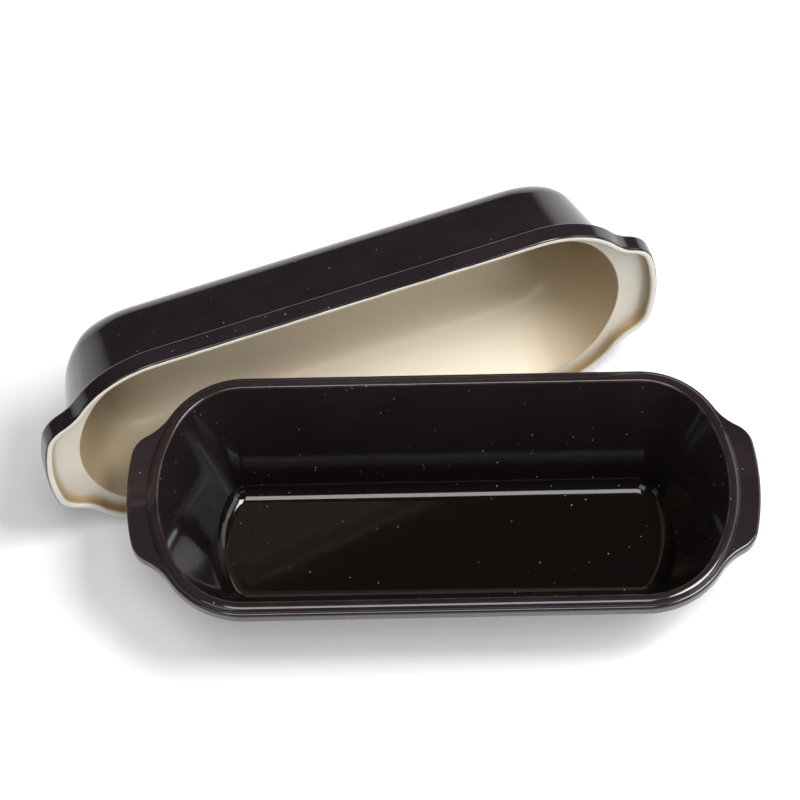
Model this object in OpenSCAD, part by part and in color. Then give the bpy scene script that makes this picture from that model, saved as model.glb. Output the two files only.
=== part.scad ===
// Long covered baking dish in glazed ceramic: a deep base with a grip lug at
// each end, and a domed lid whose skirt closes over the rim of the base.
// The base stands on its foot. The lid stands behind it on the long side of its
// skirt, leans on the wall of the base and shows its opening to the front.

/* [Outline] */
// Length of the base at its rim, without the lugs
body_len = 362; // [330:1:400]
// Width of the base at its rim
body_w = 160; // [152:1:170]
// Radius of the four corners of the rim
corner_r = 54; // [53:1:58]
// Radius of the two bowed ends of the rim
end_r = 106; // [96:1:116]

/* [Grip lugs] */
// How far a lug stands out past the end of the rim
lug_reach = 10.5; // [8:0.5:13]
// Width of a lug across its corners
lug_w = 88; // [82:1:94]
// Radius of the outer edge of a lug
lug_end_r = 150; // [130:1:200]
// Radius of the corners of a lug
lug_corner_r = 18; // [12:1:22]
// Radius of the hollow where a lug runs out of the rim
lug_blend_r = 38; // [32:1:50]

/* [Base] */
// Height of the base from its foot to the top of its rim
base_h = 84; // [72:1:88]
// Width of the rim from its outer to its inner edge
rim_w = 8.5; // [8:0.5:10]
// Height of the lip on which the lid rests, above the lugs
lip_h = 2.6; // [1.5:0.1:4]
// Distance from the outer edge of the rim to the foot of the lip
lip_step = 2; // [1.9:0.1:2.4]
// Width of the rounded outer slope of the lip
lip_slope = 4.2; // [3.4:0.1:4.2]
// Thickness of the lugs and of the edge of the rim
lug_t = 9; // [7:0.5:12]
// Thickness of the wall of the base
base_wall = 6.5; // [5:0.5:8]
// Thickness of the floor of the base
base_floor = 7; // [5:0.5:10]
// Lean of the wall of the base, in degrees from upright
base_lean = 24; // [18:1:25]
// Radius between the wall and the foot, outside
foot_r = 10; // [6:1:14]
// Radius between the wall and the floor, inside
floor_r = 12; // [8:1:15]

/* [Lid] */
// Height of the lid from the edge of its skirt to the top of its dome
lid_h = 72; // [68:1:76]
// Thickness of the skirt
skirt_t = 4.6; // [3.6:0.2:6]
// Height of the skirt on the outside
skirt_h = 12; // [10:0.5:15]
// Depth of the recess inside the skirt, from its edge to the ledge
recess = 6.8; // [6.4:0.1:8]
// Radius of the hollow between the skirt and the ledge
recess_r = 4.2; // [2:0.1:4.2]
// Thickness of the wall of the dome
lid_wall = 7.2; // [6:0.2:8]
// Distance from the outside of the skirt to the foot of the dome, on the sides
side_step = 5.5; // [5:0.1:6]
// The same distance at the ends, over the lugs
end_step = 17.5; // [15:0.5:21]
// Lean of the long sides of the dome, in degrees from upright
side_lean = 22; // [18:1:24]
// Lean of the ends of the dome, in degrees from upright
end_lean = 14; // [10:1:18]
// Height over which the shoulder of the dome rounds to its top
shoulder_rise = 27; // [18:1:28]
// Width over which the shoulder of the dome rounds to its top
shoulder_run = 36; // [24:1:37]
// Gap between the rim of the base and the skirt of the closed lid
skirt_gap = 0.9; // [0.5:0.1:1.5]

/* [Lid beside the base] */
// Turn of the lid from the line of the base, in degrees
lid_turn = 18.4; // [12:0.2:24]
// Lean of the lid's opening from level, in degrees
lid_tilt = 85; // [80:0.5:87]
// Place of the lid's middle along the base
lid_x = -52; // [-80:1:-20]
// Gap left between the skirt of the lid and the wall that it leans on
lean_gap = 0.3; // [0.3:0.1:1]

/* [Hidden] */

// Radii of the small rounded edges and hollows
edge_r = 1.8;
lip_r = 2;
skirt_edge_r = 1.6;
skirt_top_r = 2.4;
ledge_edge_r = 1.2;
root_r = 1;
root_steps = 2;
hollow_steps = 4;

// Steps along each part of a quarter of the outline
corner_steps = 8;
blend_steps = 5;
lug_corner_steps = 5;
lug_end_steps = 3;
// Steps over a small edge and over a large bend of the section
edge_steps = 3;
bend_steps = 7;

// The outline of the rim: straight sides, a corner arc and a bowed end, which touch
rim_a = body_len / 2;
rim_b = body_w / 2;
end_cx = rim_a - end_r;
end_turn = asin((rim_b - corner_r) / (end_r - corner_r));
corner_c = [end_cx + (end_r - corner_r) * cos(end_turn), rim_b - corner_r];

// The outline of a lug: a hollow blend, a corner and a flat outer arc, which touch
lug_a = rim_a + lug_reach;
lug_cx = lug_a - lug_end_r;
lug_cy = lug_w / 2 - lug_corner_r;
lug_c = [lug_cx + sqrt(pow(lug_end_r - lug_corner_r, 2) - lug_cy * lug_cy), lug_cy];
blend_c = touch_centre(corner_c, corner_r + lug_blend_r, lug_c, lug_corner_r + lug_blend_r);

// Directions at which the arcs of the outline meet
corner_end = bearing(blend_c - corner_c);
blend_from = corner_end + 180;
blend_to = bearing(lug_c - blend_c) + 360;
lug_from = blend_to - 180;
lug_to = bearing(lug_c - [lug_cx, 0]);

// Insets of the skirt and of the dome from the outline of the rim
skirt_out = -(skirt_gap + skirt_t);
skirt_in = -skirt_gap;
dome_foot = skirt_out + side_step;
// Offsets of the dome's ends: how much of an inset they take, how far they stand in from
// the rim's ends, and how much further inside, where the wall is as thick as at the sides
end_share = tan(end_lean) / tan(side_lean);
dome_dx = rim_a - (lug_a - skirt_out - end_step) - dome_foot * end_share;
hollow_dx = dome_dx + lid_wall / cos(end_lean) - lid_wall / cos(side_lean) * end_share;

function bearing(v) = atan2(v[1], v[0]);
function on_circle(c, r, a) = c + r * [cos(a), sin(a)];

// The outer point at distance ra from a and rb from b
function touch_centre(a, ra, b, rb) =
    let (d = norm(b - a), u = (b - a) / d,
         along = (ra * ra - rb * rb + d * d) / (2 * d),
         across = sqrt(max(ra * ra - along * along, 0)))
    a + u * along + [-u[1], u[0]] * across;

// One station of the outline: a point of the rim and its outward direction,
// and the point of the lug's outline beside it with its outward direction
function rim_at(y) =
    y > end_r * sin(end_turn)
    ? let (a = asin(min((y - corner_c[1]) / corner_r, 1)))
        [on_circle(corner_c, corner_r, a), [cos(a), sin(a)]]
    : let (a = asin(y / end_r)) [on_circle([end_cx, 0], end_r, a), [cos(a), sin(a)]];
function lug_station(p, n) = concat(rim_at(p[1]), [p, n]);
function corner_station(s) =
    let (a = 90 + (corner_end - 90) * s / corner_steps)
    lug_station(on_circle(corner_c, corner_r, a), [cos(a), sin(a)]);
function blend_station(s) =
    let (a = blend_from + (blend_to - blend_from) * s / blend_steps)
    lug_station(on_circle(blend_c, lug_blend_r, a), -[cos(a), sin(a)]);
function lug_corner_station(s) =
    let (a = lug_from + (lug_to - lug_from) * s / lug_corner_steps)
    lug_station(on_circle(lug_c, lug_corner_r, a), [cos(a), sin(a)]);
function lug_end_station(s) =
    let (a = lug_to * (1 - s / lug_end_steps))
    lug_station(on_circle([lug_cx, 0], lug_end_r, a), [cos(a), sin(a)]);

quarter = concat(
    [for (s = [0:corner_steps]) corner_station(s)],
    [for (s = [1:blend_steps]) blend_station(s)],
    [for (s = [1:lug_corner_steps]) lug_corner_station(s)],
    [for (s = [1:lug_end_steps]) lug_end_station(s)]);
last = len(quarter) - 1;

function mirrored(stations, m) = [for (st = stations) [for (v = st) [v[0] * m[0], v[1] * m[1]]]];
function reversed(v) = [for (i = [len(v) - 1:-1:0]) v[i]];

// All stations, counterclockwise from the right end
outline = concat(
    reversed(quarter),
    mirrored([for (i = [0:last]) quarter[i]], [-1, 1]),
    mirrored([for (i = [last - 1:-1:0]) quarter[i]], [-1, -1]),
    mirrored([for (i = [0:last - 1]) quarter[i]], [1, -1]));

// One ring of a shell. on_lug is 1 on the outline with the lugs and 0 on the rim.
// inset moves it inwards, by end_share of it along the length, and dx shortens it.
function ring(on_lug, inset, z, end_share = 1, dx = 0) =
    [for (st = outline)
        let (on_rim = [st[0][0] - inset * end_share * st[1][0] - sign(st[0][0]) * dx,
                       st[0][1] - inset * st[1][1]],
             lugged = st[2] - inset * st[3],
             p = on_rim + (lugged - on_rim) * on_lug)
        [p[0], p[1], z]];

// A closed solid from rings, the first and the last of them filled flat
module loft(rings) {
    n = len(outline);
    m = len(rings);
    polyhedron(
        points = [for (r = rings, p = r) p],
        faces = concat(
            [[for (i = [0:n - 1]) i]],
            [for (k = [0:m - 2], i = [0:n - 1], side = [0, 1])
                let (a = k * n + i, b = k * n + (i + 1) % n)
                side == 0 ? [a, a + n, b] : [b, a + n, b + n]],
            [[for (i = [n - 1:-1:0]) (m - 1) * n + i]]));
}

// Points of an arc of the section as [inset, z], from direction a to direction b,
// where 0 points inwards and 90 points up. oval has a radius each way.
function oval(c, run, rise, a, b, steps) =
    [for (s = [0:steps]) let (t = a + (b - a) * s / steps) [c[0] + run * cos(t), c[1] + rise * sin(t)]];
function bend(c, r, a, b, steps) = oval(c, r, r, a, b, steps);
function rim_rings(points) = [for (p = points) ring(0, p[0], p[1])];
function lug_rings(points) = [for (p = points) ring(1, p[0], p[1])];

// The section of the base. Its wall leans in towards the foot.
function base_inner(z) = rim_w + (base_h - z) * tan(base_lean);
function base_outer(z) = base_inner(z) - base_wall / cos(base_lean);
shoulder_z = base_h - lip_h;
under_z = shoulder_z - lug_t;
foot_touch = foot_r * (1 - sin(base_lean));
foot_c = [base_outer(foot_touch) + foot_r * cos(base_lean), foot_r];
floor_touch = base_floor + floor_r * (1 - sin(base_lean));
floor_c = [base_inner(floor_touch) + floor_r * cos(base_lean), base_floor + floor_r];
lip_c = [base_inner(base_h - lip_r) - lip_r / cos(base_lean), base_h - lip_r];

base_rings = concat(
    rim_rings(bend(foot_c, foot_r, 270, 180 + base_lean, bend_steps)),
    rim_rings(bend([base_outer(under_z - root_r) - root_r, under_z - root_r], root_r, 0, 90, root_steps)),
    lug_rings(bend([edge_r, under_z + edge_r], edge_r, 270, 180, edge_steps)),
    lug_rings(bend([edge_r, shoulder_z - edge_r], edge_r, 180, 90, edge_steps)),
    rim_rings(oval([lip_step + lip_slope, shoulder_z], lip_slope, lip_h, 180, 90, edge_steps)),
    rim_rings(bend(lip_c, lip_r, 90, base_lean, edge_steps)),
    rim_rings(bend(floor_c, floor_r, 180 + base_lean, 270, bend_steps)));

module base() {
    color([0.16, 0.14, 0.16]) loft(base_rings);
}

// The section of the lid, from the edge of its skirt upwards
function dome_outer(z) = dome_foot + (z - skirt_h) * tan(side_lean);
function dome_inner(z) = dome_outer(z) + lid_wall / cos(side_lean);
function dome_rings(points, dx) = [for (p = points) ring(0, p[0], p[1], end_share, dx)];
cavity_z = recess + ledge_edge_r;

// The shoulder, from where it touches the leaning side to where it touches the top
function shoulder(run, rise, top, offset) =
    let (from = atan(rise / run * tan(side_lean)),
         side = dome_outer(top - rise * (1 - sin(from))) + offset)
    oval([side + run * cos(from), top - rise], run, rise, 180 - from, 90, bend_steps);

lid_rings = concat(
    dome_rings(reversed(shoulder(shoulder_run, shoulder_rise, lid_h, 0)), dome_dx),
    dome_rings(bend([dome_outer(skirt_h + root_r) - root_r, skirt_h + root_r], root_r, 0, -90, root_steps),
               dome_dx),
    lug_rings(bend([skirt_out + skirt_top_r, skirt_h - skirt_top_r], skirt_top_r, 90, 180, edge_steps)),
    lug_rings(bend([skirt_out + skirt_edge_r, skirt_edge_r], skirt_edge_r, 180, 270, edge_steps)),
    lug_rings(bend([skirt_in - skirt_edge_r, skirt_edge_r], skirt_edge_r, 270, 360, edge_steps)),
    lug_rings(bend([skirt_in + recess_r, recess - recess_r], recess_r, 180, 90, hollow_steps)),
    dome_rings(bend([dome_inner(cavity_z) - ledge_edge_r, cavity_z], ledge_edge_r, 270, 360, edge_steps),
               hollow_dx),
    dome_rings(shoulder(shoulder_run - lid_wall, shoulder_rise - lid_wall, lid_h - lid_wall,
                        lid_wall / cos(side_lean)), hollow_dx));

// A point of the lid's long side, y from its middle and z from its edge, as [back, up]
// from the middle of the opening once the lid is tilted
function tilted(y, z) =
    [z * sin(lid_tilt) - y * cos(lid_tilt), -z * cos(lid_tilt) - y * sin(lid_tilt)];

// The skirt stands on the rounding of its top or of its edge, whichever is lower
on_top = tilted(rim_b - skirt_out - skirt_top_r, skirt_h - skirt_top_r);
on_edge = tilted(rim_b - skirt_out - skirt_edge_r, skirt_edge_r);
lid_z = max(skirt_top_r - on_top[1], skirt_edge_r - on_edge[1]);

// The inner edge of the skirt leans on the wall of the base, at its corner
lean_edge = tilted(rim_b - skirt_in + skirt_edge_r, skirt_edge_r);
wall_back = corner_c * [sin(lid_turn), cos(lid_turn)] + corner_r - base_outer(lid_z + lean_edge[1]);
lid_back = wall_back + (lean_gap + skirt_edge_r) / cos(base_lean) - lean_edge[0];
lid_y = (lid_back + lid_x * sin(lid_turn)) / cos(lid_turn);

module lid() {
    color([0.13, 0.10, 0.13])
        translate([lid_x, lid_y, lid_z]) rotate([0, 0, lid_turn]) rotate([lid_tilt - 180, 0, 0])
            loft(reversed(lid_rings));
}

base();
lid();
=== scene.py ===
"""The look of a long covered baking dish in glazed ceramic.

The dish has a deep base with a grip lug at each end, and a domed lid that leans behind it.
Both are lofted shells. A shell's section is a row of arcs, and its plan is the outline of the
rim, with and without the lugs. The sizes are those of the part's own source, in millimetres,
apart from the lid's skirt, a little thinner here, so that its finer curves stay in the CAD box.
"""

import logging
import math
from dataclasses import dataclass, field
from enum import Enum
from typing import Any, Iterable

import bpy
import numpy as np
from mathutils import Matrix, Vector


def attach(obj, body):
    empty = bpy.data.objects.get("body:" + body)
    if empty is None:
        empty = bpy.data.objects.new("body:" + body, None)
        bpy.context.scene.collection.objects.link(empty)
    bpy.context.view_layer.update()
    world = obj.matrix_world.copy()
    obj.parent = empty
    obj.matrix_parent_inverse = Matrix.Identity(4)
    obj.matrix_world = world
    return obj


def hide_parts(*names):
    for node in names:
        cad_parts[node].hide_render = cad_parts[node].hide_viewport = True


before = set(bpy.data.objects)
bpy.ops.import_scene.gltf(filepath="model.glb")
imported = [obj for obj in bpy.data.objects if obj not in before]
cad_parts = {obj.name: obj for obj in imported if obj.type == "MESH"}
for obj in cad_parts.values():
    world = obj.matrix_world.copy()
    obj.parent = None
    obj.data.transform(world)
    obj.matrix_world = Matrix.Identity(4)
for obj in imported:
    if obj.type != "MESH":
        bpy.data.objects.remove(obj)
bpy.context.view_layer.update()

log = logging.getLogger("covered_dish")

MM = 0.001
END_SHADE = 0.85  # how much painted shade the very ends of a hollow take
END_SHADE_FALL = 3  # how fast that painted shade falls off towards the middle
Pair = tuple[float, float]
Colour = tuple[float, float, float]


class Ring(Enum):
    """Which outline a ring follows: (share of the lugs, of the dome, of the dome's hollow)."""

    RIM = (0.0, 0.0, 0.0)
    LUG = (1.0, 0.0, 0.0)
    DOME = (0.0, 1.0, 0.0)
    HOLLOW = (0.0, 1.0, 1.0)


def unit(degrees: float) -> np.ndarray:
    """The direction at an angle, as [cos, sin]."""
    return np.array([math.cos(math.radians(degrees)), math.sin(math.radians(degrees))])


def bearing(v: np.ndarray) -> float:
    """The angle of a direction in degrees."""
    return math.degrees(math.atan2(v[1], v[0]))


def tan(degrees: float) -> float:
    """The tangent of an angle in degrees."""
    return math.tan(math.radians(degrees))


def touch_centre(a: np.ndarray, from_a: float, b: np.ndarray, from_b: float) -> np.ndarray:
    """The centre of an arc that touches two others.

    Args:
        a: Centre of the first arc.
        from_a: Distance from a to the wanted centre.
        b: Centre of the second arc.
        from_b: Distance from b to the wanted centre.

    Returns:
        The point at both distances on the left of the line from a to b.
    """
    apart = float(np.linalg.norm(b - a))
    ahead = (b - a) / apart
    along = (from_a**2 - from_b**2 + apart**2) / (2 * apart)
    across = math.sqrt(max(from_a**2 - along**2, 0.0))
    return a + ahead * along + np.array([-ahead[1], ahead[0]]) * across


@dataclass(frozen=True)
class Outline:
    """The plan of the dish: the rim and, beside each of its points, the outline with the lugs."""

    body_len: float = 362.0
    body_w: float = 160.0
    corner_r: float = 54.0
    end_r: float = 106.0
    lug_reach: float = 10.5
    lug_w: float = 88.0
    lug_end_r: float = 150.0
    lug_corner_r: float = 18.0
    lug_blend_r: float = 38.0
    side_steps: int = 10
    corner_steps: int = 22
    blend_steps: int = 14
    lug_corner_steps: int = 14
    lug_end_steps: int = 12

    @property
    def half_len(self) -> float:
        """Half of the length of the rim."""
        return self.body_len / 2

    @property
    def half_w(self) -> float:
        """Half of the width of the rim."""
        return self.body_w / 2

    @property
    def end_turn(self) -> float:
        """The direction in which the bowed end meets the corner arc."""
        return math.degrees(math.asin((self.half_w - self.corner_r) / (self.end_r - self.corner_r)))

    @property
    def corner_c(self) -> np.ndarray:
        """The centre of the corner arc of the rim."""
        centre = np.array([self.half_len - self.end_r, 0.0])
        return centre + (self.end_r - self.corner_r) * unit(self.end_turn)

    def rim_at(self, y: float) -> tuple[np.ndarray, np.ndarray]:
        """The point of the rim's end at a height on the page, and its outward direction.

        Args:
            y: Distance from the long middle line, from 0 to half of the width.

        Returns:
            The point and the outward direction there.
        """
        if y > self.end_r * math.sin(math.radians(self.end_turn)):
            out = unit(math.degrees(math.asin(min((y - self.corner_c[1]) / self.corner_r, 1.0))))
            return self.corner_c + self.corner_r * out, out
        out = unit(math.degrees(math.asin(y / self.end_r)))
        return np.array([self.half_len - self.end_r, 0.0]) + self.end_r * out, out

    def quarter(self) -> list[np.ndarray]:
        """The stations of one quarter, from the middle of a long side to the tip of a lug.

        Returns:
            Rows of four plan vectors: rim point, its outward direction, point of the outline
            with the lugs and its outward direction.
        """
        lug_cx = self.half_len + self.lug_reach - self.lug_end_r
        lug_cy = self.lug_w / 2 - self.lug_corner_r
        lug_c = np.array([lug_cx + math.sqrt((self.lug_end_r - self.lug_corner_r) ** 2 - lug_cy**2), lug_cy])
        blend_c = touch_centre(
            self.corner_c, self.corner_r + self.lug_blend_r, lug_c, self.lug_corner_r + self.lug_blend_r
        )
        corner_end = bearing(blend_c - self.corner_c)
        lug_from = bearing(lug_c - blend_c) + 180.0
        lug_to = bearing(lug_c - np.array([lug_cx, 0.0]))
        up = unit(90.0)
        rows = [
            np.array([p, up, p, up])
            for p in (np.array([x, self.half_w]) for x in np.linspace(0.0, self.corner_c[0], self.side_steps))
        ]
        arcs = (
            (self.corner_c, self.corner_r, 90.0, corner_end, self.corner_steps, 1.0),
            (blend_c, self.lug_blend_r, corner_end + 180.0, lug_from + 180.0, self.blend_steps, -1.0),
            (lug_c, self.lug_corner_r, lug_from, lug_to, self.lug_corner_steps, 1.0),
            (np.array([lug_cx, 0.0]), self.lug_end_r, lug_to, 0.0, self.lug_end_steps, 1.0),
        )
        for centre, radius, start, end, steps, side in arcs:
            for angle in np.linspace(start, end, steps + 1)[1:]:
                out = unit(angle)
                point = centre + radius * out
                rows.append(np.array([*self.rim_at(max(point[1], 0.0)), point, side * out]))
        return rows

    def stations(self) -> np.ndarray:
        """All stations, counterclockwise from the tip of the right lug.

        Returns:
            For each station the four plan vectors that quarter gives.
        """
        quarter = np.array(self.quarter())
        back_right = quarter[::-1]
        back_left = quarter[1:] * [-1.0, 1.0]
        front_left = quarter[-2::-1] * [-1.0, -1.0]
        front_right = quarter[1:-1] * [1.0, -1.0]
        return np.concatenate([back_right, back_left, front_left, front_right])


@dataclass(frozen=True)
class Arc:
    """One arc of a section, from direction start to direction end.

    Run and rise are its radii inwards and upwards, alike for a round arc. Direction 0 points
    inwards and 90 points up. From 0 to 1, its tone values give how much edge tone the middle of
    the arc takes, which is glaze run thin and, on the base's inner lip, a painted warm reflection;
    how much painted shade it takes for lying inside the dish; and how much painted shade of a
    recess it takes at its start and at its end. A crisp arc changes these tones at its own start,
    not along the straight stretch before it.
    """

    centre: Pair
    run: float
    rise: float
    start: float
    end: float
    steps: int
    ring: Ring
    worn: float = 0.0
    sheltered: float = 0.0
    pooled: Pair = (0.0, 0.0)
    crisp: bool = False

    def points(self) -> list[list[float]]:
        """The points of the arc.

        Returns:
            Rows of inset, height, the three shares of the outline, edge tone, painted inner shade and painted
            recess shade.
        """
        first, last = self.pooled
        return [
            [
                self.centre[0] + self.run * math.cos(math.radians(turn)),
                self.centre[1] + self.rise * math.sin(math.radians(turn)),
                *self.ring.value,
                self.worn * math.sin(math.pi * i / self.steps),
                self.sheltered,
                first + (last - first) * (i / self.steps) ** 2,
            ]
            for i, turn in enumerate(np.linspace(self.start, self.end, self.steps + 1))
        ]


def bend(
    centre: Pair, radius: float, start: float, end: float, steps: int, ring: Ring, **tone: Any
) -> Arc:
    """A round arc of a section, with its edge tone, painted shade and crisp values if it has them."""
    return Arc(centre, radius, radius, start, end, steps, ring, **tone)


def section_points(
    arcs: Iterable[Arc], longest: float = 7.0, near: float = 0.35, to_lugs: float = 12.0
) -> np.ndarray:
    """The points of a whole section, with the straight stretches between its arcs divided.

    Args:
        arcs: The arcs in order.
        longest: The longest part of a straight stretch, in millimetres.
        near: How close to its ends a stretch gets one more point, which keeps creases crisp.
        to_lugs: How much longer a stretch counts if it goes from the rim's outline to the lugs'.

    Returns:
        Rows of inset, height, the three shares of the outline, edge tone, painted inner shade and painted
        recess shade.
    """
    rows: list[np.ndarray] = []
    for arc in arcs:
        points = np.array(arc.points())
        if rows:
            start, step = rows[-1], points[0] - rows[-1]
            gap = float(np.linalg.norm(step[:2])) + to_lugs * abs(step[2])
            shares = np.linspace(0.0, 1.0, math.ceil(gap / longest) + 1)[1:-1]
            if gap > 4 * near:
                shares = np.sort(np.concatenate([shares, [near / gap, 1.0 - near / gap]]))
            if arc.crisp:
                step[5:] = 0.0
            rows.extend(start + step * share for share in shares)
        rows.extend(points)
    return np.array(rows)


class Graph:
    """A node tree written as short formulas, for materials and for geometry."""

    def __init__(self, tree: bpy.types.NodeTree) -> None:
        """Keeps the tree that the nodes go into."""
        self.tree = tree

    def add(self, kind: str, inputs: dict[Any, Any] | None = None, **settings: Any) -> bpy.types.Node:
        """Adds a node, sets it up and feeds its inputs.

        Args:
            kind: The node's type name.
            inputs: Socket name or number to a value or to another node's output.
            **settings: Properties of the node.

        Returns:
            The new node.
        """
        node = self.tree.nodes.new(kind)
        for name, value in settings.items():
            setattr(node, name, value)
        for key, value in (inputs or {}).items():
            if isinstance(value, bpy.types.NodeSocket):
                self.tree.links.new(value, node.inputs[key])
            else:
                node.inputs[key].default_value = value
        return node

    def math(self, operation: str, a: Any, b: Any = 0.0) -> bpy.types.NodeSocket:
        """One step of arithmetic on numbers."""
        return self.add("ShaderNodeMath", {0: a, 1: b}, operation=operation).outputs[0]

    def vector(self, operation: str, a: Any, b: Any) -> bpy.types.NodeSocket:
        """One step of arithmetic on vectors."""
        return self.add("ShaderNodeVectorMath", {0: a, 1: b}, operation=operation).outputs[0]

    def scaled(self, a: Any, factor: Any) -> bpy.types.NodeSocket:
        """A vector times a number."""
        return self.add("ShaderNodeVectorMath", {0: a, "Scale": factor}, operation="SCALE").outputs[0]

    def joined(self, x: Any, y: Any, z: Any) -> bpy.types.NodeSocket:
        """A vector from three numbers."""
        return self.add("ShaderNodeCombineXYZ", {0: x, 1: y, 2: z}).outputs[0]

    def between(self, factor: Any, a: Any, b: Any, kind: str = "VECTOR") -> bpy.types.NodeSocket:
        """A mix of two vectors or colours.

        Args:
            factor: The share of b, from 0 to 1.
            a: The value at 0.
            b: The value at 1.
            kind: "VECTOR" or "RGBA".

        Returns:
            The mixed value.
        """
        node = self.add("ShaderNodeMix", data_type=kind)
        word = {"VECTOR": "Vector", "RGBA": "Color"}[kind]
        output = f"Result_{word}"
        by_id = {s.identifier: s for s in node.inputs}
        for name, value in zip(("Factor_Float", f"A_{word}", f"B_{word}"), (factor, a, b)):
            if isinstance(value, bpy.types.NodeSocket):
                self.tree.links.new(value, by_id[name])
            else:
                by_id[name].default_value = value
        return next(s for s in node.outputs if s.identifier == output)

    def ramp(self, value: Any, low: float, high: float) -> bpy.types.NodeSocket:
        """A number taken smoothly from 0 at low to 1 at high."""
        inputs = {"Value": value, "From Min": low, "From Max": high}
        return self.add("ShaderNodeMapRange", inputs, interpolation_type="SMOOTHSTEP").outputs[0]

    def noise(
        self, where: Any, scale: float, detail: float = 2.0, roughness: float = 0.5
    ) -> bpy.types.NodeSocket:
        """Soft noise from 0 to 1 at a scale in waves per metre."""
        inputs = {"Vector": where, "Scale": scale, "Detail": detail, "Roughness": roughness}
        return self.add("ShaderNodeTexNoise", inputs).outputs[0]

    def cells(self, where: Any, scale: float) -> bpy.types.Node:
        """Scattered cells, scale of them per metre."""
        return self.add("ShaderNodeTexVoronoi", {"Vector": where, "Scale": scale})

    def attribute(self, name: str) -> bpy.types.NodeSocket:
        """A number kept on the mesh."""
        return self.add("ShaderNodeAttribute", attribute_name=name).outputs["Fac"]


@dataclass(frozen=True)
class Glaze:
    """A fired glaze: its tones, its gloss and its specks.

    Deep and light are mixed all over in soft clouds. The edge tone shows on edges, where the glaze
    runs thin, and it also paints a warm reflection on the base's inner lip and a highlight on the
    lid's skirt edge. Two tones of painted shade take over inside the dish and in its recesses. The
    specks' radius and distance are in millimetres, the least of them has the share speck_least of
    that radius, and the scales of the clouds and of the edge tone's patches are in waves per metre.
    """

    deep: Colour
    light: Colour
    thin_and_glint: Colour
    roughness: float
    speck: Colour
    speck_share: float
    speck_radius: float = 0.28
    speck_least: float = 0.35
    speck_apart: float = 4.2
    clouds: float = 28.0
    wear_and_glint_scale: float = 160.0
    most_worn: float = 0.75
    # painted shade: a darker, warmer tone inside the dish, and another in its recesses
    sheltered: Colour | None = None
    pooled: Colour | None = None

    def colour(self, g: Graph, where: Any) -> tuple[Any, Any]:
        """The nodes of its colour.

        Args:
            g: The material's graph.
            where: The coordinates.

        Returns:
            The colour and a mask of the specks.
        """
        cloudy = g.ramp(g.noise(where, self.clouds, detail=4.0, roughness=0.6), 0.3, 0.7)
        tone = g.between(cloudy, (*self.deep, 1.0), (*self.light, 1.0), "RGBA")
        # painted shade: darker, warmer tones inside the dish and in its recesses
        for name, own in (("sheltered", self.sheltered), ("pooled", self.pooled)):
            if own:
                tone = g.between(g.attribute(name), tone, (*own, 1.0), "RGBA")
        # edge tone: glaze run thin, plus a painted warm reflection on the base's inner lip and a painted
        # highlight on the lid's skirt edge
        patchy = g.ramp(g.noise(where, self.wear_and_glint_scale, detail=3.0), 0.2, 0.75)
        worn = g.math("MULTIPLY", g.attribute("worn"), patchy)
        toned = g.between(g.math("MULTIPLY", worn, self.most_worn), tone, (*self.thin_and_glint, 1.0), "RGBA")
        cells = g.cells(where, 1.0 / (self.speck_apart * MM))
        chance = g.add("ShaderNodeSeparateColor", {0: cells.outputs["Color"]}).outputs
        size = self.speck_radius / self.speck_apart
        edge = g.math("MULTIPLY", g.math("ADD", chance[1], self.speck_least), size)
        inside = g.math("LESS_THAN", cells.outputs["Distance"], edge)
        chosen = g.math("LESS_THAN", chance[0], self.speck_share)
        mask = g.math("MULTIPLY", inside, chosen)
        return g.between(mask, toned, (*self.speck, 1.0), "RGBA"), mask


@dataclass(frozen=True)
class GlazedFinish:
    """A material with one glaze on either side of a line that runs round the shell.

    The mesh keeps its distance from that line, in millimetres, as "past_line". The line's wobble
    and blur and the relief are in millimetres too, and the scales in waves per metre.
    """

    name: str
    before: Glaze
    past: Glaze
    line_wobble: float
    line_blur: float
    relief: float = 0.045
    relief_share: float = 0.6
    wobble_scale: float = 90.0
    gloss_scale: float = 70.0
    gloss_spread: float = 0.1
    swell_scale: float = 22.0
    swell: float = 8.0
    peel_scale: float = 420.0
    peel: float = 0.35
    speck_height: float = 0.5
    refraction: float = 1.52

    def build(self) -> bpy.types.Material:
        """Makes the material.

        Returns:
            The new material.
        """
        material = bpy.data.materials.new(self.name)
        material.use_nodes = True
        g = Graph(material.node_tree)
        material.node_tree.nodes.clear()
        where = g.add("ShaderNodeTexCoord").outputs["Object"]
        wave = g.math("SUBTRACT", g.noise(where, self.wobble_scale, detail=3.0), 0.5)
        wobble = g.math("MULTIPLY", wave, self.line_wobble)
        past = g.ramp(g.math("ADD", g.attribute("past_line"), wobble), -self.line_blur, self.line_blur)
        first, first_specks = self.before.colour(g, where)
        second, second_specks = self.past.colour(g, where)
        colour = g.between(past, first, second, "RGBA")
        patches = g.math("SUBTRACT", g.noise(where, self.gloss_scale, detail=3.0), 0.5)
        patches = g.math("MULTIPLY", patches, self.gloss_spread)
        change = g.math("MULTIPLY", past, self.past.roughness - self.before.roughness)
        rough = g.math("ADD", g.math("ADD", change, self.before.roughness), patches)
        waves = g.math("MULTIPLY", g.noise(where, self.swell_scale, detail=1.0), self.swell)
        peel = g.math("MULTIPLY", g.noise(where, self.peel_scale), self.peel)
        raised = g.math("MULTIPLY", g.math("MAXIMUM", first_specks, second_specks), self.speck_height)
        height = g.math("ADD", g.math("ADD", waves, peel), raised)
        relief = {"Height": height, "Strength": self.relief_share, "Distance": self.relief * MM}
        bump = g.add("ShaderNodeBump", relief)
        shader = g.add(
            "ShaderNodeBsdfPrincipled",
            {"Base Color": colour, "Roughness": rough, "Normal": bump.outputs[0], "IOR": self.refraction},
        )
        output = g.add("ShaderNodeOutputMaterial", {"Surface": shader.outputs[0]})
        output.is_active_output = True
        return material


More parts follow.
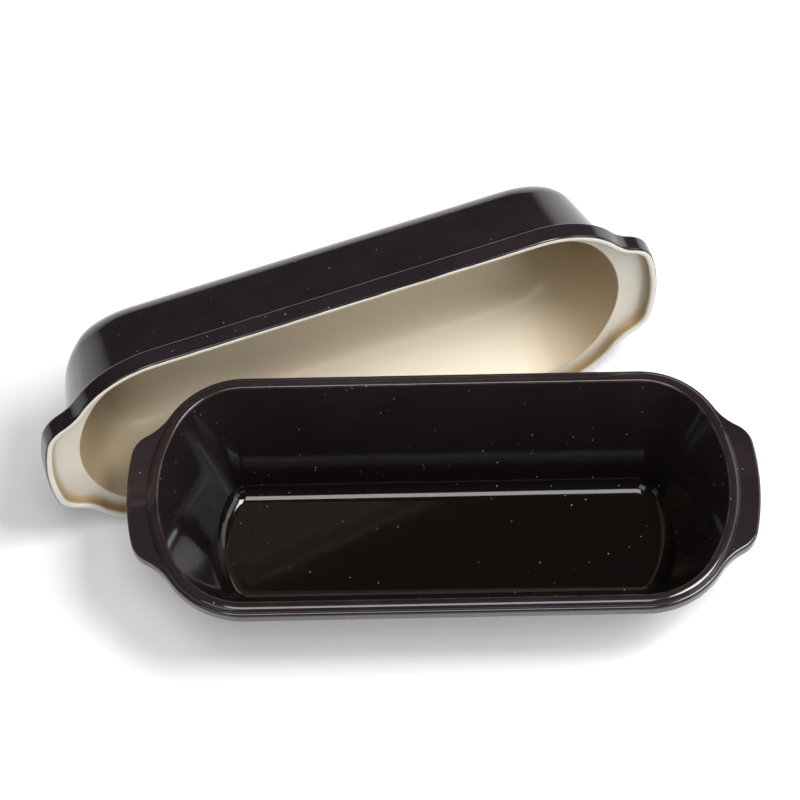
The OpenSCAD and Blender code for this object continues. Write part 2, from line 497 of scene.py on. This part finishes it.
@dataclass(frozen=True)
class Charcoal(Glaze):
    """The dark glaze with a touch of aubergine."""

    deep: Colour = (0.0185, 0.0130, 0.0155)
    light: Colour = (0.0250, 0.0180, 0.0215)
    # edge tone: glaze run thin, and on the inner lip a painted warm reflection
    thin_and_glint: Colour = (0.085, 0.045, 0.022)
    roughness: float = 0.09
    speck: Colour = (0.45, 0.42, 0.44)
    speck_share: float = 0.35
    # painted shade inside the base
    sheltered: Colour = (0.0050, 0.0036, 0.0030)


@dataclass(frozen=True)
class Cream(Glaze):
    """The pale glaze inside the lid, with painted shade that deepens its tone in the hollow and in the
    recess.
    """

    deep: Colour = (0.800, 0.760, 0.660)
    light: Colour = (0.830, 0.795, 0.700)
    # edge tone: glaze run thin, and on the skirt's edge a painted highlight
    thin_and_glint: Colour = (0.860, 0.835, 0.790)
    roughness: float = 0.34
    speck: Colour = (0.34, 0.25, 0.16)
    speck_share: float = 0.015
    # painted shade in the hollow of the lid
    sheltered: Colour = (0.870, 0.765, 0.585)
    # painted shade in the recess and at the ends of the hollow
    pooled: Colour = (0.330, 0.220, 0.095)


@dataclass(frozen=True)
class BareClay(Glaze):
    """The fired clay of the foot, without glaze."""

    deep: Colour = (0.300, 0.215, 0.150)
    light: Colour = (0.360, 0.265, 0.190)
    thin_and_glint: Colour = (0.250, 0.170, 0.115)
    roughness: float = 0.82
    speck: Colour = (0.12, 0.08, 0.06)
    speck_share: float = 0.2


class ShellLoft:
    """The Geometry Nodes tree that puts each point of a flat net on its place of the shell.

    A point of the net carries its station of the outline and its point of the section. The tree
    offsets the rim and the outline with the lugs by the point's inset, mixes the two, raises the
    point to its height, and sets the whole shell on its place.
    """

    VECTORS = ("rim", "rim_out", "lug", "lug_out")
    NUMBERS = ("inset", "height", "on_lug", "on_dome", "in_hollow")

    def __init__(self) -> None:
        """Builds the tree."""
        tree = bpy.data.node_groups.new("ShellLoft", "GeometryNodeTree")
        self.tree = tree
        face = tree.interface
        face.new_socket("Net", in_out="INPUT", socket_type="NodeSocketGeometry")
        self.sockets = {
            name: face.new_socket(name, in_out="INPUT", socket_type=kind).identifier
            for name, kind in (
                ("End share", "NodeSocketFloat"),
                ("End shift", "NodeSocketFloat"),
                ("Hollow shift", "NodeSocketFloat"),
                ("Tilt", "NodeSocketFloat"),
                ("Turn", "NodeSocketFloat"),
                ("Place", "NodeSocketVector"),
                ("Finish", "NodeSocketMaterial"),
            )
        }
        face.new_socket("Shell", in_out="OUTPUT", socket_type="NodeSocketGeometry")
        self._wire(Graph(tree))

    def _wire(self, g: Graph) -> None:
        """Adds the nodes.

        Args:
            g: The graph of the tree.
        """
        group = g.add("NodeGroupInput").outputs
        named = {
            name: g.add("GeometryNodeInputNamedAttribute", {"Name": name}, data_type=kind).outputs[0]
            for names, kind in ((self.VECTORS, "FLOAT_VECTOR"), (self.NUMBERS, "FLOAT"))
            for name in names
        }
        less = g.math("SUBTRACT", group["End share"], 1.0)
        share = g.math("ADD", 1.0, g.math("MULTIPLY", named["on_dome"], less))
        step_in = g.scaled(named["rim_out"], named["inset"])
        step_in = g.vector("MULTIPLY", step_in, g.joined(share, 1.0, 1.0))
        side = g.math("SIGN", g.add("ShaderNodeSeparateXYZ", {0: named["rim"]}).outputs[0])
        dome_shift = g.math("MULTIPLY", group["End shift"], named["on_dome"])
        hollow_shift = g.math("MULTIPLY", group["Hollow shift"], named["in_hollow"])
        shift = g.math("MULTIPLY", side, g.math("ADD", dome_shift, hollow_shift))
        rim = g.vector("SUBTRACT", g.vector("SUBTRACT", named["rim"], step_in), g.joined(shift, 0.0, 0.0))
        lug = g.vector("SUBTRACT", named["lug"], g.scaled(named["lug_out"], named["inset"]))
        place = g.vector("ADD", g.between(named["on_lug"], rim, lug), g.joined(0.0, 0.0, named["height"]))
        moved = g.add("GeometryNodeSetPosition", {"Geometry": group["Net"], "Position": place})
        turned = g.add(
            "GeometryNodeTransform",
            {
                "Geometry": moved.outputs[0],
                "Rotation": g.joined(group["Tilt"], 0.0, group["Turn"]),
                "Translation": group["Place"],
            },
        )
        smooth = g.add("GeometryNodeSetShadeSmooth", {"Geometry": turned.outputs[0], "Shade Smooth": True})
        real = g.add("GeometryNodeRealizeInstances", {"Geometry": smooth.outputs[0]})
        dressed = g.add("GeometryNodeSetMaterial", {"Geometry": real.outputs[0], "Material": group["Finish"]})
        g.add("NodeGroupOutput", {"Shell": dressed.outputs[0]})

    def make(self, name: str, net: bpy.types.Mesh, values: dict[str, Any]) -> bpy.types.Object:
        """Runs the tree on a net and keeps the result as a plain mesh.

        Args:
            name: Name of the new object.
            net: The flat net with its attributes.
            values: The tree's inputs by name.

        Returns:
            The finished object, at the origin.
        """
        carrier = bpy.data.objects.new(name + "_net", net)
        bpy.context.scene.collection.objects.link(carrier)
        modifier = carrier.modifiers.new("Loft", "NODES")
        modifier.node_group = self.tree
        for key, value in values.items():
            modifier[self.sockets[key]] = value
        shaped = carrier.evaluated_get(bpy.context.evaluated_depsgraph_get())
        mesh = bpy.data.meshes.new_from_object(shaped)
        mesh.name = name
        carrier.modifiers.remove(modifier)
        bpy.data.objects.remove(carrier)
        piece = bpy.data.objects.new(name, mesh)
        bpy.context.scene.collection.objects.link(piece)
        return piece


def shell_net(name: str, stations: np.ndarray, section: np.ndarray, line_at: float) -> bpy.types.Mesh:
    """A closed net of stations by section points that carries what the loft needs.

    Args:
        name: Name of the mesh.
        stations: The stations of the outline.
        section: The points of the section.
        line_at: Where the line between the two glazes lies, along the section in millimetres.

    Returns:
        The net, filled across at the first and the last ring.
    """
    around, along = len(stations), len(section)
    ring = np.arange(around)
    following = (ring + 1) % around
    faces = [
        (k * around + a, k * around + b, (k + 1) * around + b, (k + 1) * around + a)
        for k in range(along - 1)
        for a, b in zip(ring.tolist(), following.tolist())
    ]
    mirror = (-ring) % around
    last = (along - 1) * around
    for a in range(around // 2):
        b = a + 1
        corners = [a, b, int(mirror[b]), int(mirror[a])]
        kept = list(dict.fromkeys(corners))
        faces.append(tuple(reversed(kept)))
        faces.append(tuple(last + i for i in kept))
    mesh = bpy.data.meshes.new(name)
    spread = [(*(stations[i][0] * MM), k * MM) for k in range(along) for i in range(around)]
    mesh.from_pydata(spread, [], faces)
    per_station = {
        "rim": stations[:, 0] * MM,
        "rim_out": stations[:, 1],
        "lug": stations[:, 2] * MM,
        "lug_out": stations[:, 3],
    }
    for key, plan in per_station.items():
        column = np.zeros((along * around, 3), dtype=np.float32)
        column[:, :2] = np.tile(plan, (along, 1))
        mesh.attributes.new(key, "FLOAT_VECTOR", "POINT").data.foreach_set("vector", column.ravel())
    steps = np.linalg.norm(np.diff(section[:, :2], axis=0), axis=1)
    run = np.concatenate([[0.0], np.cumsum(steps)]) - line_at
    columns = {
        "inset": section[:, 0] * MM,
        "height": section[:, 1] * MM,
        "on_lug": section[:, 2],
        "on_dome": section[:, 3],
        "in_hollow": section[:, 4],
        "worn": section[:, 5],
        "sheltered": section[:, 6],
        "past_line": run,
    }
    data = {key: np.repeat(values, around) for key, values in columns.items()}
    # painted shade, darkest at the very ends of the hollow
    to_end = np.tile((np.abs(stations[:, 0, 0]) / stations[:, 0, 0].max()) ** END_SHADE_FALL, along)
    data["pooled"] = np.maximum(np.repeat(section[:, 7], around), END_SHADE * to_end * data["sheltered"])
    for key, values in data.items():
        mesh.attributes.new(key, "FLOAT", "POINT").data.foreach_set("value", values.astype(np.float32))
    return mesh


def finish_piece(piece: bpy.types.Object, node: str, body: str) -> None:
    """Puts a finished piece in the place of its CAD node.

    Args:
        piece: The piece.
        node: The node that it stands for.
        body: The body that it rides on.
    """
    mesh = piece.data
    for key in (*ShellLoft.VECTORS, *ShellLoft.NUMBERS):
        mesh.attributes.remove(mesh.attributes[key])
    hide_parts(node)
    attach(piece, body)
    log.info("%s: %d faces in place of %s", piece.name, len(mesh.polygons), node)


@dataclass(frozen=True)
class DishBase:
    """The base of the dish: its section, its mesh and its finish."""

    outline: Outline
    height: float = 84.0
    rim_w: float = 8.5
    lip_h: float = 2.6
    lip_step: float = 2.0
    lip_slope: float = 4.2
    lug_t: float = 9.0
    wall: float = 6.5
    floor: float = 7.0
    lean: float = 24.0
    foot_r: float = 10.0
    floor_r: float = 12.0
    edge_r: float = 1.8
    lip_r: float = 2.0
    root_r: float = 1.0
    clay_up: float = 2.5

    def inner(self, z: float) -> float:
        """Inset of the inside of the wall at a height."""
        return self.rim_w + (self.height - z) * tan(self.lean)

    def outer(self, z: float) -> float:
        """Inset of the outside of the wall at a height."""
        return self.inner(z) - self.wall / math.cos(math.radians(self.lean))

    def arcs(self) -> list[Arc]:
        """The section of the base.

        Returns:
            Its arcs in order, from the foot over the rim down to the floor.
        """
        cos_lean = math.cos(math.radians(self.lean))
        sin_lean = math.sin(math.radians(self.lean))
        shoulder = self.height - self.lip_h
        under = shoulder - self.lug_t
        foot_x = self.outer(self.foot_r * (1 - sin_lean)) + self.foot_r * cos_lean
        floor_x = self.inner(self.floor + self.floor_r * (1 - sin_lean)) + self.floor_r * cos_lean
        root = (self.outer(under - self.root_r) - self.root_r, under - self.root_r)
        lip = (self.inner(self.height - self.lip_r) - self.lip_r / cos_lean, self.height - self.lip_r)
        slope = (self.lip_step + self.lip_slope, shoulder)
        floor_c = (floor_x, self.floor + self.floor_r)
        return [
            bend((foot_x, self.foot_r), self.foot_r, 270, 180 + self.lean, 12, Ring.RIM),
            bend(root, self.root_r, 0, 90, 4, Ring.RIM),
            # edge tone on the lugs' edges is glaze run thin; on the inner lip it is also a painted warm
            # reflection
            bend((self.edge_r, under + self.edge_r), self.edge_r, 270, 180, 6, Ring.LUG, worn=0.4),
            bend((self.edge_r, shoulder - self.edge_r), self.edge_r, 180, 90, 6, Ring.LUG, worn=0.4),
            Arc(slope, self.lip_slope, self.lip_h, 180, 90, 10, Ring.RIM),
            # painted shade inside the base, starting at the inner lip and deepening towards the floor
            bend(lip, self.lip_r, 90, self.lean, 8, Ring.RIM, worn=1.0, sheltered=0.3),
            bend(floor_c, self.floor_r, 180 + self.lean, 270, 12, Ring.RIM, sheltered=1.0),
        ]

    def build(self, loft: ShellLoft) -> bpy.types.Object:
        """Lofts and dresses the base.

        Args:
            loft: The loft tree.

        Returns:
            The finished piece.
        """
        finish = GlazedFinish("base_finish", BareClay(), Charcoal(), line_wobble=1.6, line_blur=0.25)
        net = shell_net("base_net", self.outline.stations(), section_points(self.arcs()), self.clay_up)
        values = {
            "End share": 1.0,
            "End shift": 0.0,
            "Hollow shift": 0.0,
            "Tilt": 0.0,
            "Turn": 0.0,
            "Place": (0.0, 0.0, 0.0),
            "Finish": finish.build(),
        }
        piece = loft.make("glazed_base", net, values)
        finish_piece(piece, "base", "base")
        return piece


@dataclass(frozen=True)
class DishLid:
    """The lid of the dish, leaning on the base: its section, its place, its mesh and its finish.

    The line between its two glazes lies line_out of the edge's radius outside the skirt's edge.
    """

    outline: Outline
    base: DishBase
    height: float = 72.0
    skirt_t: float = 4.48  # 4.6 in the part's source
    skirt_h: float = 12.0
    recess: float = 6.8
    recess_r: float = 4.2
    wall: float = 7.2
    side_step: float = 5.5
    end_step: float = 17.5
    side_lean: float = 22.0
    end_lean: float = 14.0
    shoulder_rise: float = 27.0
    shoulder_run: float = 36.0
    skirt_gap: float = 0.9
    edge_r: float = 1.6
    top_r: float = 2.4
    ledge_r: float = 1.2
    root_r: float = 1.0
    turn: float = 18.4
    tilt: float = 85.0
    along: float = -52.0
    lean_gap: float = 0.3
    line_out: float = 0.5

    @property
    def skirt_out(self) -> float:
        """Inset of the outside of the skirt from the rim's outline."""
        return -(self.skirt_gap + self.skirt_t)

    @property
    def dome_foot(self) -> float:
        """Inset of the foot of the dome."""
        return self.skirt_out + self.side_step

    @property
    def end_share(self) -> float:
        """How much of an inset the dome's ends take."""
        return tan(self.end_lean) / tan(self.side_lean)

    @property
    def end_shift(self) -> float:
        """How far the dome's ends stand in from the rim's ends."""
        dome_tip = self.outline.half_len + self.outline.lug_reach - self.skirt_out - self.end_step
        return self.outline.half_len - dome_tip - self.dome_foot * self.end_share

    @property
    def hollow_shift(self) -> float:
        """How much further the hollow's ends stand in, so that the wall is as thick there."""
        return self.wall / math.cos(math.radians(self.end_lean)) - self.side_wall * self.end_share

    @property
    def side_wall(self) -> float:
        """Thickness of the long sides of the dome, measured level."""
        return self.wall / math.cos(math.radians(self.side_lean))

    def outer(self, z: float) -> float:
        """Inset of the outside of the dome at a height above the skirt's edge."""
        return self.dome_foot + (z - self.skirt_h) * tan(self.side_lean)

    def inner(self, z: float) -> float:
        """Inset of the inside of the dome at a height above the skirt's edge."""
        return self.outer(z) + self.side_wall

    def shoulder(self, inside: bool) -> Arc:
        """The oval shoulder between the leaning side and the top.

        Args:
            inside: Whether it is that of the hollow, which runs up, or the outer one, which runs down.

        Returns:
            The arc.
        """
        shrink = self.wall if inside else 0.0
        run, rise, top = self.shoulder_run - shrink, self.shoulder_rise - shrink, self.height - shrink
        touch = math.degrees(math.atan(rise / run * tan(self.side_lean)))
        side = (self.inner if inside else self.outer)(top - rise * (1 - math.sin(math.radians(touch))))
        centre = (side + run * math.cos(math.radians(touch)), top - rise)
        if inside:
            # the hollow's inside takes the painted shade
            return Arc(centre, run, rise, 180.0 - touch, 90.0, 16, Ring.HOLLOW, sheltered=1.0)
        return Arc(centre, run, rise, 90.0, 180.0 - touch, 16, Ring.DOME)

    def arcs(self) -> list[Arc]:
        """The section of the lid.

        Returns:
            Its arcs in order, from the top of the dome over the skirt to the top of the hollow.
        """
        skirt_in = -self.skirt_gap
        above = self.skirt_h + self.root_r
        hollow = self.recess + self.ledge_r
        edge_c = (skirt_in - self.edge_r, self.edge_r)
        recess_c = (skirt_in + self.recess_r, self.recess - self.recess_r)
        ledge_c = (self.inner(hollow) - self.ledge_r, hollow)
        return [
            self.shoulder(inside=False),
            bend((self.outer(above) - self.root_r, above), self.root_r, 0, -90, 4, Ring.DOME),
            bend((self.skirt_out + self.top_r, self.skirt_h - self.top_r), self.top_r, 90, 180, 8, Ring.LUG),
            bend((self.skirt_out + self.edge_r, self.edge_r), self.edge_r, 180, 270, 8, Ring.LUG),
            # painted shade in the recess beside the skirt, with glaze run thin and a painted highlight on the
            # skirt's edge
            bend(edge_c, self.edge_r, 270, 360, 6, Ring.LUG, worn=0.5, pooled=(0.0, 0.9)),
            bend(recess_c, self.recess_r, 180, 90, 10, Ring.LUG, sheltered=0.1, pooled=(1.0, 0.08)),
            # painted shade in the hollow, from the ledge inwards, with a crisp start
            bend(ledge_c, self.ledge_r, 270, 360, 5, Ring.HOLLOW, sheltered=1.0, crisp=True),
            self.shoulder(inside=True),
        ]

    def tilted(self, y: float, z: float) -> Pair:
        """Where a point y from the middle line and z above the edge lies, as (back, up), when tilted."""
        cos_t, sin_t = unit(self.tilt)
        return z * sin_t - y * cos_t, -z * cos_t - y * sin_t

    def place(self) -> tuple[float, float, float]:
        """Where the lid is when it stands on its skirt and leans on the base.

        Returns:
            The place of the middle of its opening.
        """
        half_w = self.outline.half_w
        on_top = self.tilted(half_w - self.skirt_out - self.top_r, self.skirt_h - self.top_r)
        on_edge = self.tilted(half_w - self.skirt_out - self.edge_r, self.edge_r)
        up = max(self.top_r - on_top[1], self.edge_r - on_edge[1])
        edge = self.tilted(half_w + self.skirt_gap + self.edge_r, self.edge_r)
        cos_turn, sin_turn = unit(self.turn)
        corner = self.outline.corner_c
        reach = corner[0] * sin_turn + corner[1] * cos_turn + self.outline.corner_r
        clear = (self.lean_gap + self.edge_r) / math.cos(math.radians(self.base.lean))
        back = reach - self.base.outer(up + edge[1]) + clear - edge[0]
        return self.along, (back + self.along * sin_turn) / cos_turn, up

    def build(self, loft: ShellLoft) -> bpy.types.Object:
        """Lofts and dresses the lid.

        Args:
            loft: The loft tree.

        Returns:
            The finished piece.
        """
        section = section_points(self.arcs())
        steps = np.linalg.norm(np.diff(section[:, :2], axis=0), axis=1)
        run = np.concatenate([[0.0], np.cumsum(steps)])
        lowest = int(np.argmin(section[:, 1]))
        line_at = float(run[lowest]) - self.edge_r * self.line_out
        finish = GlazedFinish("lid_finish", Charcoal(), Cream(), line_wobble=0.7, line_blur=0.12)
        net = shell_net("lid_net", self.outline.stations(), section, line_at)
        values = {
            "End share": self.end_share,
            "End shift": self.end_shift * MM,
            "Hollow shift": self.hollow_shift * MM,
            "Tilt": math.radians(self.tilt - 180.0),
            "Turn": math.radians(self.turn),
            "Place": tuple(v * MM for v in self.place()),
            "Finish": finish.build(),
        }
        piece = loft.make("glazed_lid", net, values)
        finish_piece(piece, "lid", "lid")
        return piece


@dataclass(frozen=True)
class Studio:
    """The floor, the soft lights and the camera.

    Each light has a name, a place in metres, a size in metres and a power in watts. The camera's
    scale is in pixels per millimetre and its shift in pixels, for a picture of 800 pixels.
    """

    floor_half: float = 4.0
    floor_tone: Colour = (0.92, 0.92, 0.92)
    floor_roughness: float = 0.9
    floor_gloss: float = 0.1
    floor_glow: float = 0.2
    room_glow: float = 0.02
    room_seen: float = 0.26
    aim: tuple[float, float, float] = (0.0, 0.0, 0.084)
    distance: float = 2.5
    elevation: float = 64.18
    azimuth: float = -1.23
    scale: float = 1.659
    picture: float = 800.0
    shift: Pair = (43.7, -89.7)
    sensor: float = 36.0
    lights: tuple[tuple[str, tuple[float, float, float], float, float], ...] = field(
        default=(
            ("key", (0.85, 0.0, 1.9), 0.7, 31.0),
            ("above", (-0.1, -0.6, 2.6), 1.0, 22.0),
            ("right", (1.8, -0.1, 1.2), 0.9, 5.0),
            ("front_right", (1.6, -0.8, 0.9), 1.0, 5.0),
            ("side", (1.5, 0.75, 0.85), 0.95, 5.0),
            ("front_left", (-0.9, -1.3, 1.7), 1.0, 7.0),
        )
    )

    def build_floor(self) -> bpy.types.Object:
        """Makes the pale floor.

        Returns:
            The floor, which is kept out of the part.
        """
        h = self.floor_half
        mesh = bpy.data.meshes.new("studio_floor")
        mesh.from_pydata([(-h, -h, 0.0), (h, -h, 0.0), (h, h, 0.0), (-h, h, 0.0)], [], [(0, 1, 2, 3)])
        floor = bpy.data.objects.new("studio_floor", mesh)
        bpy.context.scene.collection.objects.link(floor)
        material = bpy.data.materials.new("studio_floor")
        material.use_nodes = True
        shader = material.node_tree.nodes["Principled BSDF"]
        shader.inputs["Base Color"].default_value = (*self.floor_tone, 1.0)
        shader.inputs["Roughness"].default_value = self.floor_roughness
        shader.inputs["Specular IOR Level"].default_value = self.floor_gloss
        shader.inputs["Emission Color"].default_value = (1.0, 1.0, 1.0, 1.0)
        shader.inputs["Emission Strength"].default_value = self.floor_glow
        mesh.materials.append(material)
        return floor

    def build_camera(self) -> bpy.types.Object:
        """Makes the camera at the photograph's viewing angle.

        Returns:
            The camera, which is also the scene's camera.
        """
        turn, rise = math.radians(self.azimuth), math.radians(self.elevation)
        back = Vector((math.sin(turn) * math.cos(rise), -math.cos(turn) * math.cos(rise), math.sin(rise)))
        right = Vector((math.cos(turn), math.sin(turn), 0.0))
        up = back.cross(right)
        camera = bpy.data.cameras.new("camera")
        camera.sensor_width = self.sensor
        camera.lens = self.scale / MM * self.distance * self.sensor / self.picture
        camera.shift_x = -self.shift[0] / self.picture
        camera.shift_y = -self.shift[1] / self.picture
        holder = bpy.data.objects.new("camera", camera)
        axes = Matrix((right, up, back)).transposed().to_4x4()
        holder.matrix_world = Matrix.Translation(Vector(self.aim) + back * self.distance) @ axes
        bpy.context.scene.collection.objects.link(holder)
        bpy.context.scene.camera = holder
        return holder

    def build_lights(self) -> None:
        """Makes the soft lights and the dim surroundings."""
        for name, place, size, power in self.lights:
            lamp = bpy.data.lights.new(name, "AREA")
            lamp.shape = "SQUARE"
            lamp.size = size
            lamp.energy = power
            holder = bpy.data.objects.new(name, lamp)
            holder.location = place
            holder.rotation_euler = Vector(place).to_track_quat("Z", "Y").to_euler()
            bpy.context.scene.collection.objects.link(holder)
        world = bpy.data.worlds.new("surroundings")
        world.use_nodes = True
        g = Graph(world.node_tree)
        seen = g.add("ShaderNodeLightPath").outputs["Is Camera Ray"]
        more = g.math("MULTIPLY", seen, self.room_seen - self.room_glow)
        strength = g.math("ADD", self.room_glow, more)
        room = world.node_tree.nodes["Background"]
        room.inputs["Color"].default_value = (1.0, 1.0, 1.0, 1.0)
        world.node_tree.links.new(strength, room.inputs["Strength"])
        bpy.context.scene.world = world
        bpy.context.scene.view_settings.view_transform = "Standard"


def main() -> None:
    """Builds the studio and the two pieces of the dish."""
    logging.basicConfig(level=logging.INFO, format="%(message)s")
    studio = Studio()
    studio.build_camera()
    studio.build_floor()
    studio.build_lights()
    loft = ShellLoft()
    outline = Outline()
    base = DishBase(outline)
    base.build(loft)
    DishLid(outline, base).build(loft)


if __name__ == "__main__":
    main()
